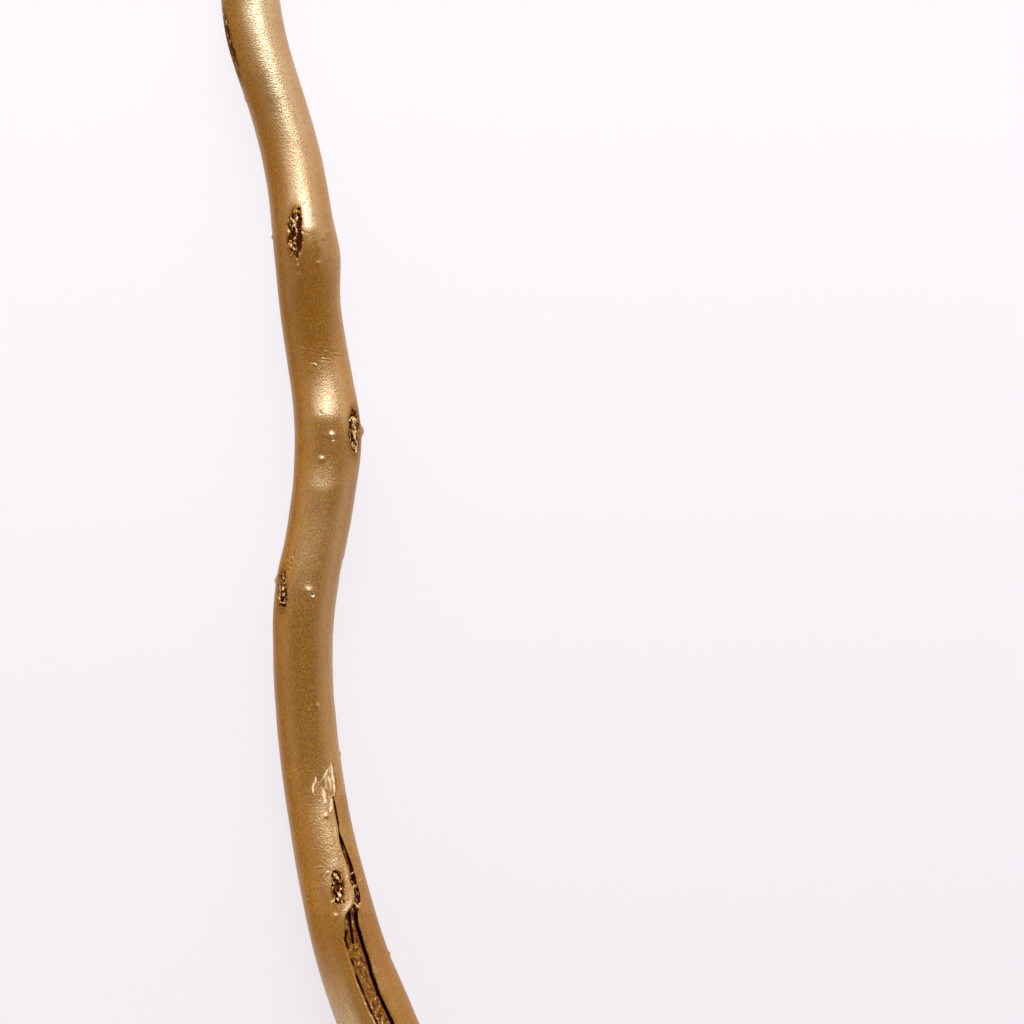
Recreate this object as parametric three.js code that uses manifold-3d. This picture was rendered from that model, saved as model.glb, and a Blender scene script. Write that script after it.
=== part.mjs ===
// A cut length of a mulberry branch, painted gold, lying on a flat surface.
// Millimetres, +Z up. +X runs along the branch from its thick cut end to its thin one, and
// +Y is to the left of that. The origin is under the middle of the branch, on the surface.
import * as THREE from "three";
import { mergeVertices } from "three/addons/utils/BufferGeometryUtils.js";
import Module from "manifold-3d";

const wasm = await Module();
wasm.setup();

// Driving dimensions

// The length of the middle line, which the two cuts shorten a little.
const LENGTH = 345;
const SIDES = 24;
const RINGS = 115;

// The branch every 15 mm, from the thick end to the thin one.
// How far its middle lies to the left of a straight line,
const ACROSS = [
  -32.8, -28.2, -22.6, -16.8, -10.9, -6.8, -3.4, -0.9, 0.9, 1.7, 1.2, -1.6,
  -3.8, -4.1, -2.1, 0.2, 1.6, 3.3, 6.6, 11.6, 14.7, 16.5, 17.5, 17.8,
];
// how far its middle is above the surface,
const HEIGHT = [
  10.3, 10.2, 10.1, 9.9, 9.9, 9.9, 9.1, 7.5, 8.9, 10.8, 12.2, 12.4,
  12.4, 12.5, 11.6, 13.4, 15.0, 13.3, 11.4, 9.8, 7.2, 7.4, 8.2, 8.9,
];
// and how thick it is.
const THICKNESS = [
  20.6, 20.3, 19.9, 19.4, 18.2, 16.8, 15.7, 15.1, 15.1, 14.6, 15.0, 15.1,
  15.3, 15.4, 15.1, 15.0, 15.0, 14.6, 14.4, 14.2, 14.2, 14.1, 13.9, 13.8,
];

// The two straight cuts: where each one crosses the middle line, which way along the branch
// the waste lies, and how far the cut leans from square, in degrees.
const CUTS = [
  { along: -169, waste: -1, lean: -14 },
  { along: 171, waste: 1, lean: 6 },
];
const WASTE = 24;

// Knuckles, where the bark swells around a bud. turn is the angle round the branch from the
// top, in degrees, and positive to the right of +X.
const KNUCKLES = [
  { along: 121, turn: -70, rise: 0.5, reach: 8, spread: 35 },
  { along: 70, turn: -8, rise: 0.5, reach: 7, spread: 38 },
  { along: 64, turn: 78, rise: 1.1, reach: 6, spread: 42 },
  { along: 26, turn: -6, rise: 0.8, reach: 5, spread: 34 },
  { along: 20, turn: 62, rise: 0.9, reach: 8, spread: 40 },
  { along: -20, turn: -42, rise: 0.5, reach: 8, spread: 38 },
  { along: -93, turn: 4, rise: 0.6, reach: 8, spread: 40 },
  { along: -154, turn: -64, rise: 0.7, reach: 9, spread: 38 },
  { along: 152, turn: 96, rise: 0.5, reach: 8, spread: 36 },
];

// Scars that the buds left: long eye-shaped pits in the bark.
const BUD_SCARS = [
  { along: 119.5, turn: -66, length: 8.5, width: 2.4 },
  { along: 69.5, turn: -12, length: 12, width: 3.2 },
  { along: 20, turn: 48, length: 10.5, width: 2.8 },
  { along: -20, turn: -40, length: 9.5, width: 2.6 },
  { along: -94, turn: 6, length: 9, width: 3 },
  { along: -154, turn: -64, length: 10, width: 3 },
  { along: 152, turn: 96, length: 8.5, width: 2.4 },
];
const SCAR_DEPTH = 1.3;

// The drying split, from its closed tip to where it runs out through the thick end.
const SPLIT = [
  { along: -73, turn: 31, width: 0.3 },
  { along: -84, turn: 36, width: 0.9 },
  { along: -97, turn: 35, width: 2 },
  { along: -104, turn: 15, width: 3.6 },
  { along: -118, turn: 11, width: 3.9 },
  { along: -145, turn: 9, width: 3.8 },
  { along: -180, turn: 7, width: 3.6 },
];
const SPLIT_DEPTH = 2.4;
const SPLIT_FLOOR_SHARE = 0.55;
const SPLIT_STEPS = 44;

// Steps in the bark smaller than this are smoothed over.
const SMALLEST_STEP = 0.02;

const GOLD = { color: 0xa9793c, roughness: 0.42, metalness: 0.85 };

// The branch's middle line and thickness

// A smooth curve through evenly spaced values, read at a place along the branch.
function evenlySpaced(values) {
  const curve = new THREE.CatmullRomCurve3(
    values.map((value, i) => new THREE.Vector3(i, value, 0)),
    false,
    "catmullrom",
  );
  const point = new THREE.Vector3();
  return (along) => curve.getPoint(THREE.MathUtils.clamp(along / LENGTH + 0.5, 0, 1), point).y;
}

const acrossAt = evenlySpaced(ACROSS);
const heightAt = evenlySpaced(HEIGHT);
const thicknessAt = evenlySpaced(THICKNESS);

const middleAt = (along) => new THREE.Vector3(along, acrossAt(along), heightAt(along));

// The directions along, up and to the right of the branch at one place.
function directionsAt(along) {
  const STEP = 0.5;
  const forward = middleAt(along + STEP).sub(middleAt(along - STEP)).normalize();
  const up = new THREE.Vector3(0, 0, 1).addScaledVector(forward, -forward.z).normalize();
  const right = new THREE.Vector3().crossVectors(forward, up);
  return { forward, up, right };
}

const bell = (x) => Math.exp(-x * x);

// The smaller angle between two turns, in degrees.
const between = (a, b) => THREE.MathUtils.euclideanModulo(a - b + 180, 360) - 180;

function radiusAt(along, turn) {
  const knuckles = KNUCKLES.map(
    (k) => k.rise * bell((along - k.along) / k.reach) * bell(between(turn, k.turn) / k.spread),
  );
  return thicknessAt(along) / 2 + knuckles.reduce((sum, rise) => sum + rise, 0);
}

// A point at a place along the branch, a turn round it and a distance out from its bark.
function barkPoint(along, turn, out = 0, share = 1) {
  const { up, right } = directionsAt(along);
  const angle = THREE.MathUtils.degToRad(turn);
  const radius = (radiusAt(along, turn) + out) * share;
  return middleAt(along)
    .addScaledVector(up, Math.cos(angle) * radius)
    .addScaledVector(right, Math.sin(angle) * radius);
}

// Solids

// Bends a closed geometry by moving each of its points, and returns it as a solid.
function bentSolid(geometry, move) {
  const place = geometry.getAttribute("position");
  const point = new THREE.Vector3();
  for (let i = 0; i < place.count; i++) {
    const moved = move(point.fromBufferAttribute(place, i));
    place.setXYZ(i, moved.x, moved.y, moved.z);
  }
  geometry.deleteAttribute("normal");
  geometry.deleteAttribute("uv");
  const merged = mergeVertices(geometry, 1e-4);
  return new wasm.Manifold(
    new wasm.Mesh({
      numProp: 3,
      vertProperties: merged.getAttribute("position").array,
      triVerts: new Uint32Array(merged.index.array),
    }),
  );
}

// The whole rod: a cylinder drawn out along the middle line.
function rod() {
  return bentSolid(new THREE.CylinderGeometry(1, 1, 1, SIDES, RINGS), (p) => {
    const turn = THREE.MathUtils.radToDeg(Math.atan2(p.x, p.z));
    return barkPoint(p.y * LENGTH, turn, 0, Math.hypot(p.x, p.z));
  });
}

// The waste past one cut: a block with its near face on the cut.
function cutWaste({ along, waste, lean }) {
  const { forward, right } = directionsAt(along);
  const away = forward.multiplyScalar(waste).applyAxisAngle(right, THREE.MathUtils.degToRad(lean));
  const over = new THREE.Vector3().crossVectors(right, away);
  return bentSolid(new THREE.BoxGeometry(WASTE, 2 * WASTE, 2 * WASTE), (p) =>
    middleAt(along)
      .addScaledVector(away, p.x + WASTE / 2)
      .addScaledVector(over, p.y)
      .addScaledVector(right, p.z),
  );
}

// One bud scar: a long pointed lens sunk half its depth into the bark.
function scarCutter({ along, turn, length, width }) {
  const degreesWide = THREE.MathUtils.radToDeg(width / thicknessAt(along));
  return bentSolid(new THREE.SphereGeometry(1, 10, 10), (p) =>
    barkPoint(
      along + (p.y * length) / 2,
      turn + p.x * degreesWide * (1 - 0.5 * Math.abs(p.y)),
      p.z * SCAR_DEPTH,
    ),
  );
}

// The drying split: a tapered wedge that follows its path down the bark and out of the end.
function splitCutter() {
  const path = new THREE.CatmullRomCurve3(
    SPLIT.map(({ along, turn, width }) => new THREE.Vector3(along, turn, width)),
  );
  const place = new THREE.Vector3();
  return bentSolid(new THREE.BoxGeometry(1, 1, 1, SPLIT_STEPS, 1, 1), (p) => {
    const { x: along, y: turn, z: width } = path.getPoint(p.x + 0.5, place);
    const inside = p.z < 0;
    const share = inside ? SPLIT_FLOOR_SHARE : 1.2;
    const degreesWide = THREE.MathUtils.radToDeg((2 * width * share) / thicknessAt(along));
    const depth = Math.min(SPLIT_DEPTH, width * 1.5);
    return barkPoint(along, turn + p.y * degreesWide, inside ? -depth : 1.5);
  });
}

function branchSolid() {
  const cutters = [...BUD_SCARS.map(scarCutter), splitCutter(), ...CUTS.map(cutWaste)];
  return cutters.reduce((branch, cutter) => branch.subtract(cutter), rod()).simplify(SMALLEST_STEP);
}

// The solid as a geometry whose lowest point is on the surface and whose middle is over the origin.
function settledGeometry(solid) {
  const { vertProperties, triVerts } = solid.getMesh();
  const geometry = new THREE.BufferGeometry();
  geometry.setAttribute("position", new THREE.BufferAttribute(vertProperties, 3));
  geometry.setIndex(new THREE.BufferAttribute(triVerts, 1));
  geometry.computeBoundingBox();
  const { min, max } = geometry.boundingBox;
  geometry.translate(-(min.x + max.x) / 2, -(min.y + max.y) / 2, -min.z);
  geometry.computeVertexNormals();
  return geometry;
}

const group = new THREE.Group();
const branch = new THREE.Mesh(settledGeometry(branchSolid()), new THREE.MeshStandardMaterial(GOLD));
branch.name = "mulberry_branch";
group.add(branch);

export default group;
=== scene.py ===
import math
from collections import namedtuple

import bpy
import mathutils
import numpy as np
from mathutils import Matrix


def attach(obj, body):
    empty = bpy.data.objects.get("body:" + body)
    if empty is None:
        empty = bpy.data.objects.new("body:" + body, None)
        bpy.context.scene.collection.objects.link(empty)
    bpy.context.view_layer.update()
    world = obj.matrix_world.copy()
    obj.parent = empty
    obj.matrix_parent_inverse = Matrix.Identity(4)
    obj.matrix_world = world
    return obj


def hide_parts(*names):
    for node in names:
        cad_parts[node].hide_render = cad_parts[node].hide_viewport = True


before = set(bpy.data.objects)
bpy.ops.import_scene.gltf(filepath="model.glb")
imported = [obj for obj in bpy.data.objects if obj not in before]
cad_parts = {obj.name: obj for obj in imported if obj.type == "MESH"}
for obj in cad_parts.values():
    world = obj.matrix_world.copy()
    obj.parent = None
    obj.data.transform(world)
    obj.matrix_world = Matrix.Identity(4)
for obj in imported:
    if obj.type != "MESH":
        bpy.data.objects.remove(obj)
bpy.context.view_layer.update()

bl_info = {
    "name": "Gold mulberry branch",
    "version": (1, 0, 0),
    "blender": (4, 5, 0),
    "location": "3D View > Sidebar > Branch",
    "description": "A cut length of mulberry branch, sprayed gold, that lies on a pale floor",
    "category": "Add Mesh",
}

NODE = "mulberry_branch"
MM = 0.001

# Features of the bark, in millimetres in the frame of the CAD solid. x runs along the branch
# and y to its left. turn is the angle round it from the top, in degrees, positive to the right.

# Knuckles: the place and turn of the crest, its height, how slowly it falls off towards the thin
# end and towards the thick one, how round the crest is, how many degrees it spreads either way,
# and how far its sides bend towards the thin end.
Knuckle = namedtuple("Knuckle", "along turn rise above below crest spread bow", defaults=[0])
KNUCKLES = [
    Knuckle(121, -70, 0.5, 8, 8, 6, 35),
    Knuckle(70, -8, 0.3, 7, 7, 5, 38),
    Knuckle(70.2, 17, 1.0, 7, 8, 0.3, 26),
    Knuckle(66, 0, 1.8, 9, 30, 4, 50),
    Knuckle(64, 78, 1.1, 6, 6, 5, 42),
    Knuckle(23.6, -8, 1.1, 3.2, 6, 1.6, 38),
    Knuckle(33, 0, -0.35, 12, 6, 3, 50),
    Knuckle(6.0, -4, 1.9, 11, 12, 0.2, 60, 8),
    Knuckle(20, 62, 0.9, 8, 8, 5, 40),
    Knuckle(-20, -42, 0.5, 8, 8, 5, 38),
    Knuckle(-90, 4, -0.45, 14, 9, 4, 45),
    Knuckle(-154, -64, 0.7, 9, 9, 5, 38),
    Knuckle(152, 96, 0.5, 8, 8, 5, 36),
]

# Where the branch thickens below a line across it: the line, the turn of its middle, how much it
# thickens, over what length, how slowly that fades and how far round it spreads.
Thickening = namedtuple("Thickening", "along turn rise reach fade spread")
THICKENINGS = [Thickening(6, -6, 3.4, 24, 40, 55), Thickening(134, 0, 1.2, 8, 40, 55)]

# A bud scar is a long dent with holes torn in it and flakes of wood standing between them. torn is
# how ragged it is, and a scar on the rim has a turn in place of y. A hole or a flake is (up, right,
# length, width, lean): its place from the scar's middle, its size, and how many degrees it leans to
# the right.
Scar = namedtuple("Scar", "x y length width holes flakes torn turn", defaults=[1.0, None])
SCARS = [
    Scar(
        118.6, None, 16, 3.4,
        [(2.8, -0.3, 7.5, 1.0, 3), (-3.6, 0.3, 5.5, 0.8, -2)],
        [(0.2, 0.4, 1.6, 0.5, 0), (4.4, 0.3, 1.4, 0.4, 10)],
        0.35,
        -65,
    ),
    Scar(
        70.0, 11.7, 12.5, 3.2,
        [(2.2, 1.0, 4.6, 0.64, 0), (-2.0, 1.1, 5.2, 1.0, 0), (4.3, 0.6, 1.2, 0.5, -20),
         (5.8, 0.8, 0.7, 0.55, 0), (-5.4, 0.75, 1.8, 0.45, 0), (3.5, -0.25, 0.9, 0.4, -30),
         (-0.5, -0.4, 1.1, 0.5, -20), (0.9, -0.9, 0.8, 0.4, 20), (-2.5, -0.5, 1.4, 0.4, -55),
         (-3.3, 0.0, 1.2, 0.4, -55), (-4.3, -0.2, 1.2, 0.36, -60), (1.2, -0.2, 1.0, 0.36, 30)],
        [(3.0, -0.4, 1.4, 0.5, -40), (3.0, 0.35, 1.4, 0.44, 5), (2.2, -0.7, 1.0, 0.5, 30),
         (1.8, 0.05, 1.2, 0.44, 35), (0.5, -1.25, 1.2, 0.56, -15), (0.3, 0.4, 1.0, 0.44, 0),
         (-1.5, 0.1, 1.4, 0.44, -25), (-2.3, -0.3, 1.5, 0.48, -60), (-2.95, -0.65, 1.5, 0.48, -60),
         (-3.65, -0.3, 1.5, 0.52, -60), (1.4, 1.65, 0.6, 0.4, 0), (-0.1, 1.7, 0.6, 0.5, 0)],
    ),
    Scar(
        20.6, -1.7, 11, 2.6,
        [(4.8, -0.1, 1.1, 0.32, -15), (3.4, -0.75, 1.0, 0.44, 30), (3.95, -0.25, 0.7, 0.7, 0),
         (3.4, 0.4, 1.0, 0.44, -30), (1.0, -0.6, 2.3, 0.4, -10), (-1.4, 0.45, 0.5, 0.44, 0),
         (-1.3, -0.4, 0.5, 0.44, 0), (-2.25, 0.0, 1.0, 0.36, -55), (-2.9, 0.75, 0.4, 0.36, 0),
         (-3.5, 0.4, 0.6, 0.3, 0)],
        [(2.7, -0.05, 2.0, 0.6, -10), (2.7, -0.85, 0.6, 0.44, 0), (1.2, 0.2, 1.4, 0.6, 0),
         (-0.9, 0.2, 0.6, 0.5, -30), (-2.7, 0.55, 0.6, 0.5, 0), (-3.45, 0.85, 0.7, 0.5, -30),
         (-4.25, 0.25, 0.8, 0.5, 0), (-5.0, 0.45, 0.7, 0.36, -15)],
    ),
    Scar(
        -19.4, 14.3, 10, 2.3,
        [(4.4, 0.7, 1.0, 0.32, 15), (3.4, 0.85, 0.8, 0.4, -20), (2.5, 0.4, 1.0, 0.36, 40),
         (1.65, -0.1, 0.8, 0.36, 10), (0.0, 0.8, 1.4, 0.36, 0), (-1.4, 0.65, 1.0, 0.36, 0),
         (-0.5, -0.2, 1.2, 0.5, 0), (-2.5, -0.5, 0.8, 0.44, -20), (-3.4, -0.1, 0.8, 0.4, -20)],
        [(3.0, 0.2, 1.0, 0.5, 20), (2.0, 0.5, 0.8, 0.5, 0), (0.6, 0.2, 1.0, 0.6, 0),
         (-1.0, 0.25, 0.8, 0.5, 0), (-1.8, -0.8, 0.9, 0.5, 0), (-4.4, -0.35, 0.8, 0.5, 0),
         (-2.9, 0.3, 0.7, 0.4, 0)],
    ),
    Scar(
        -93.5, 1.3, 9, 3.4,
        [(3.3, -1.3, 1.0, 0.44, 10), (4.05, -0.8, 0.6, 0.9, 0), (3.7, -0.1, 0.9, 0.44, -15),
         (1.0, 0.0, 1.3, 0.6, 0), (-0.8, -1.0, 1.7, 0.52, 0), (-0.45, 0.0, 0.7, 0.56, 0),
         (0.8, -1.4, 0.6, 0.5, 0), (-3.35, -0.4, 0.5, 1.0, 0), (-3.4, 1.35, 0.6, 0.6, 0),
         (-2.0, -0.3, 0.6, 0.4, 0)],
        [(3.4, -0.85, 0.8, 0.6, -20), (2.55, -0.05, 1.0, 0.6, -35), (1.6, -0.95, 1.0, 0.9, 0),
         (1.75, 0.6, 0.8, 0.6, 0), (1.0, -1.8, 0.5, 0.5, 0), (0.2, -1.4, 0.6, 0.6, 0),
         (-0.1, 0.6, 0.7, 0.5, 0), (-1.75, 0.45, 1.0, 0.7, 0), (-2.85, -0.4, 1.5, 0.8, 80),
         (-3.5, 0.9, 0.7, 0.6, 0), (-3.2, -1.4, 0.8, 0.5, 40)],
    ),
]
# Scars out of the top view, as (along, turn), torn like the fourth one but wider.
HIDDEN_STRETCH = 1.3
HIDDEN_SCARS = [(-154, -64), (152, 96), (97, 160), (46, -148), (-56, 146), (-125, -132)]

# The two lips of the drying split, from its closed tip to where it runs out of the thick end:
# x, y of the left lip, y of the right lip and how deep it is.
SPLIT = [
    (-70.5, 2.75, 2.6, 0.0), (-71.1, 2.9, 2.35, 0.9), (-73.3, 2.5, 1.9, 1.0),
    (-75.2, 2.12, 1.52, 1.0), (-77.5, 1.65, 1.05, 1.0), (-78.2, 1.5, 1.1, 0.3),
    (-79.4, 1.3, 0.95, 0.35), (-80.0, 1.25, 0.8, 1.1), (-80.7, 1.2, 0.5, 1.6),
    (-83.1, 0.75, -0.5, 1.9), (-85.5, -0.05, -1.4, 2.0), (-87.8, -1.0, -2.25, 2.2),
    (-89.3, -1.4, -2.75, 2.3), (-91.8, -1.65, -3.3, 2.4), (-94.1, -2.5, -3.95, 2.4),
    (-95.8, -2.75, -4.3, 2.4), (-97.4, -2.6, -4.15, 2.2), (-98.8, -1.5, -3.8, 1.8),
    (-99.8, -0.8, -3.6, 1.4), (-101.3, -0.4, -3.7, 1.0), (-103.2, -0.2, -4.1, 0.9),
    (-106.5, -0.1, -5.1, 0.9), (-110.8, -1.5, -6.6, 0.9), (-115.1, -2.8, -7.7, 0.9),
    (-120.2, -4.8, -9.5, 0.9), (-127.2, -8.1, -12.8, 0.9), (-150.0, -16.3, -20.6, 0.9),
    (-176.0, -24.6, -28.6, 0.9),
]
# The narrow slit in its floor, as (x, y).
INNER_SLIT = [(-99.8, -1.4), (-102.8, -1.7), (-105.3, -2.1), (-107.1, -2.3)]

# Bark pimples, as (x, y, width, height) on the top side, and as (along, turn, width, height)
# on the rims.
TOP_PIMPLES = [
    (69.7, 5.1, 1.3, 0.45), (68.5, 5.9, 1.0, 0.25), (62.6, 6.9, 1.0, 0.3), (19.6, 3.0, 1.2, 0.5),
    (13.7, 5.2, 1.1, 0.35), (-19.2, 8.6, 2.0, 0.5), (-95.1, 8.7, 0.9, 0.35), (-96.4, 8.6, 0.9, 0.3),
    (-100.4, 2.0, 0.9, 0.3), (-47.9, 6.7, 0.9, 0.25), (-75.6, 4.3, 0.8, 0.3), (59.6, 10.7, 0.8, 0.25),
]
RIM_PIMPLES = [
    (70.0, -76, 1.2, 0.45), (20.4, 86, 2.3, 0.8), (-17.9, -80, 1.4, 0.45), (-112.8, 82, 1.2, 0.4),
    (105.9, -76, 1.4, 0.3), (53.0, 100, 1.2, 0.4), (-61, 96, 1.2, 0.35), (-140, 70, 1.3, 0.4),
]
# Small dents, as (x, y, width, depth).
DENTS = [
    (-10.7, 11.5, 0.6, 0.35), (-12.1, 12.2, 0.5, 0.35), (-12.6, 12.9, 0.5, 0.3), (-13.4, 12.2, 0.6, 0.35),
    (-14.4, 12.7, 0.6, 0.35), (-20.0, 7.9, 0.9, 0.5), (62.6, 10.8, 0.6, 0.3), (-95.8, 8.6, 0.6, 0.35),
    (18.6, 2.8, 0.7, 0.2), (19.8, -4.5, 0.7, 0.5), (69.4, 4.7, 0.6, 0.3), (-96.8, 8.6, 0.5, 0.2),
    (25.0, 5.35, 0.4, 0.2),
]
# Creases across the bark where it buckled in drying, each from (x, y) to (x, y).
CREASES = [
    ((47.1, 6.4), (47.0, 4.9)), ((41.4, 9.9), (40.9, 7.9)), ((38.7, 5.3), (38.4, 3.3)),
    ((37.4, 7.9), (36.9, 6.7)), ((40.4, 4.7), (40.3, 3.9)), ((39.9, 2.4), (39.6, 1.4)),
    ((-88.6, 8.0), (-88.2, 5.2)), ((-89.5, 4.0), (-91.3, 5.2)), ((75.6, 11.8), (77.6, 9.6)),
]
# Patches of fine ripples where the bark shrank: the middle, the size along the ripples and across
# them, how far they lean up to the right, their spacing and their height.
Ripples = namedtuple("Ripples", "x y length width lean step rise")
RIPPLES = [
    Ripples(-82.0, 4.5, 6.5, 3.6, 25, 0.68, 0.014), Ripples(40.0, 4.6, 4.5, 4.0, -8, 0.9, 0.013),
    Ripples(64.4, 6.6, 5.0, 3.6, 12, 0.8, 0.014), Ripples(-86.5, 4.5, 5.0, 5.0, 35, 0.8, 0.008),
]
# Hairline cracks in the paint.
HAIRLINES = [[(-11.2, 0.3), (-15.9, 1.2), (-18.3, 1.9)]]
# Where the gold is rubbed off: the width of each stroke and its line of (x, y).
Scrape = namedtuple("Scrape", "width line")
SCRAPES = [
    Scrape(0.7, [(-62.2, 3.3), (-64.2, 2.95), (-66.2, 2.67), (-68.1, 2.42), (-70.4, 2.35)]),
    Scrape(0.5, [(-65.5, 3.8), (-67.4, 3.45), (-69.3, 3.1)]),
    Scrape(0.6, [(-63.2, 3.6), (-65.0, 4.6), (-66.3, 5.3)]),
    Scrape(0.95, [(-68.4, 5.3), (-70.4, 4.85), (-72.3, 4.5)]),
    Scrape(0.85, [(-71.0, 3.1), (-72.7, 3.0), (-74.4, 3.45)]),
    Scrape(0.6, [(-65.7, 6.95), (-66.8, 6.9), (-67.7, 7.5), (-69.8, 7.5)]),
]
# Painted shade beside the strokes, laid as browner edges of the bark, and the line of the patch
# that is rubbed all over.
SCRAPE_EDGES = [
    Scrape(0.6, [(-62.4, 2.8), (-65.5, 2.2), (-68.1, 1.95), (-70.8, 2.0)]),
    Scrape(0.5, [(-65.6, 3.35), (-68.1, 3.05), (-70.3, 2.8)]),
    Scrape(0.8, [(-65.4, 4.3), (-67.2, 4.5), (-68.6, 4.85)]),
    Scrape(0.6, [(-65.7, 6.4), (-67.1, 6.35)]),
]
RUBBED = [(-64.5, 3.7), (-67.0, 4.0), (-70.5, 3.7)]
# Patches of wrinkled bark, as (x, y, width).
WRINKLED = [(65, 6, 14), (39, 5, 13), (22, 4, 14), (-86, 5, 12), (-92, 6, 9)]

# Patches of the coat, as (amount, along, reach, turn, spread): painted shade, fewer flakes
# where a highlight is dimmed as painted shade, and a patch of painted light.
SHADE_PATCHES = [(0.6, 52, 14, 0, 45), (0.42, -79, 11, -4, 40), (0.4, 56, 15, 36, 17)]
DIMMED_HIGHLIGHTS = [(0.35, 87, 9, 10, 20), (0.25, 28, 6, 8, 20)]
LIGHT_PATCHES = [(0.14, -6, 13, 1, 22)]
# What the mesh notes at each point for the paint: bare wood (black as painted shadow in the
# deepest slits), thin paint and painted shade, torn flakes of wood, gold rubbed off and a patch of
# painted light, and the share of flakes, with painted light and shade in it.
NOTES = ("bare", "thin", "torn", "worn", "spray")


# Small sums on arrays

def smooth(low, high, value):
    """A soft step from 0 at low to 1 at high."""
    share = np.clip((value - low) / (high - low), 0, 1)
    return share * share * (3 - 2 * share)


def bell(value):
    """A bump of height 1 that fades either side of 0."""
    return np.exp(-value * value)


def between(a, b):
    """The smaller angle between two turns, in degrees."""
    return (a - b + 180) % 360 - 180


# Turns the lattice of random numbers so that its rows don't run along the branch.
SKEW = np.array(mathutils.Euler((0.6, 0.5, 0.4)).to_matrix())


def lattice_value(cell, seed):
    """A fixed random number from -1 to 1 for each cell of a lattice."""
    mixed = cell[:, 0] * 73856093 ^ cell[:, 1] * 19349663 ^ cell[:, 2] * 83492791 ^ seed * 2654435761
    mixed = (mixed ^ (mixed >> 13)) * 1274126177 & 0x7FFFFFFF
    mixed = (mixed ^ (mixed >> 15)) * 668265263 & 0x7FFFFFFF
    return (mixed % 65536) / 32768 - 1


def rough(points, size, seed):
    """Smooth random heights from about -1 to 1, in bumps of that size."""
    place = points @ SKEW / size
    cell = np.floor(place).astype(np.int64)
    part = place - cell
    part = part ** 3 * (6 * part * part - 15 * part + 10)
    total = np.zeros(len(points))
    for corner in np.ndindex(2, 2, 2):
        corner = np.array(corner)
        weight = np.prod(np.where(corner, part, 1 - part), axis=1)
        total += weight * lattice_value(cell + corner, seed)
    return total


def pieces_of(points, line):
    """For each piece of a line: how far each point of the top view is off it, and how far along."""
    for start, end in zip(line, line[1:]):
        start = np.array(start)
        way = np.array(end) - start
        share = np.clip((points - start) @ way / (way @ way), 0, 1)
        yield np.linalg.norm(points - start - share[:, None] * way, axis=1), share


def distance_to(points, line):
    """How far each point of the top view is from a line of joined points."""
    return np.min([off for off, _ in pieces_of(points, line)], axis=0)


# The middle line of the branch, read from the CAD solid

def solid_triangles():
    """The corners of the CAD solid's triangles, in millimetres, and their outward directions."""
    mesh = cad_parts[NODE].data
    mesh.calc_loop_triangles()
    points = np.empty(len(mesh.vertices) * 3)
    mesh.vertices.foreach_get("co", points)
    corners = np.empty(len(mesh.loop_triangles) * 3, dtype=np.int32)
    mesh.loop_triangles.foreach_get("vertices", corners)
    corners = points.reshape(-1, 3)[corners.reshape(-1, 3)] / MM
    outward = np.cross(corners[:, 1] - corners[:, 0], corners[:, 2] - corners[:, 0])
    return corners, outward


def crossing_points(corners, point, direction):
    """Where the edges of the solid cross a plane."""
    side = (corners - point) @ direction
    found = []
    for a, b in ((0, 1), (1, 2), (2, 0)):
        crossing = (side[:, a] < 0) != (side[:, b] < 0)
        start = corners[crossing, a]
        share = side[crossing, a] / (side[crossing, a] - side[crossing, b])
        found.append(start + share[:, None] * (corners[crossing, b] - start))
    return np.concatenate(found)


def round_fit(across, up):
    """The middle and radius of the circle through most points, leaving out pits and swellings."""
    used = np.ones(len(across), dtype=bool)
    for tolerance in (1.2, 0.7, 0.45, 0.3, 0.3):
        rows = np.column_stack([2 * across[used], 2 * up[used], np.ones(used.sum())])
        middle = np.linalg.lstsq(rows, across[used] ** 2 + up[used] ** 2, rcond=None)[0]
        radius = math.sqrt(middle[2] + middle[0] ** 2 + middle[1] ** 2)
        used = np.abs(np.hypot(across - middle[0], up - middle[1]) - radius) < tolerance
    return middle[0], middle[1], radius


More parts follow.
